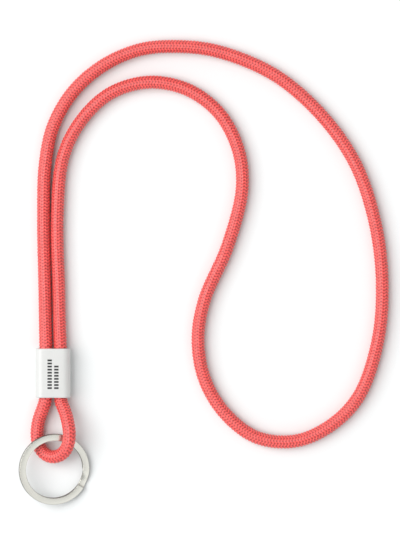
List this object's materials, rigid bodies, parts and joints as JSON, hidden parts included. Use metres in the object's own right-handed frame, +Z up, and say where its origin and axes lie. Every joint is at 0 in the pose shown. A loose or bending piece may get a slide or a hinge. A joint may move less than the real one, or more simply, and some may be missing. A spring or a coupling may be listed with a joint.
{
  "type": "neck lanyard with key ring",
  "caption": "Braided cord neck lanyard lying flat, with a moulded sleeve, a short key loop and a split ring for keys or badges.",
  "frame": {"origin": "centre of the sleeve's flat back face, on the surface that the lanyard lies on", "axes": "+Z up, out of the surface; +Y along the sleeve, towards the neck loop; +X to the right seen from above"},
  "size_m": [0.1664, 0.2092, 0.0127],
  "materials": {
    "braided_cord": "matt woven polyester",
    "sleeve_plastic": "satin moulded",
    "ring_steel": "nickel plated",
    "band_steel": "plain sheet"
  },
  "bodies": {
    "sleeve_and_neck_loop": {"neck_cord": "braided_cord", "cord_through_sleeve": "braided_cord", "cord_tail_from_neck": "braided_cord", "cord_tail_from_key_loop": "braided_cord", "crimp_band": "band_steel", "sleeve_front_shell": "sleeve_plastic", "sleeve_back_shell": "sleeve_plastic", "key_loop_flex_left": "braided_cord", "key_loop_flex_right": "braided_cord"},
    "key_loop": {"key_loop_cord": "braided_cord"},
    "ring": {"split_ring": "ring_steel"}
  },
  "joints": [
    {"name": "key_loop_bend", "type": "hinge", "parent": "sleeve_and_neck_loop", "child": "key_loop", "pos_m": [0, -0.015, 0.005], "axis": [-1, 0, 0], "range_deg": [-60, 60], "deforming": ["key_loop_flex_left", "key_loop_flex_right"]},
    {"name": "ring_turn", "type": "hinge", "parent": "key_loop", "child": "ring", "pos_m": [0.0005, -0.0433, 0.00498], "axis": [0.2325, -0.0872, 0.9687], "continuous": true}
  ]
}
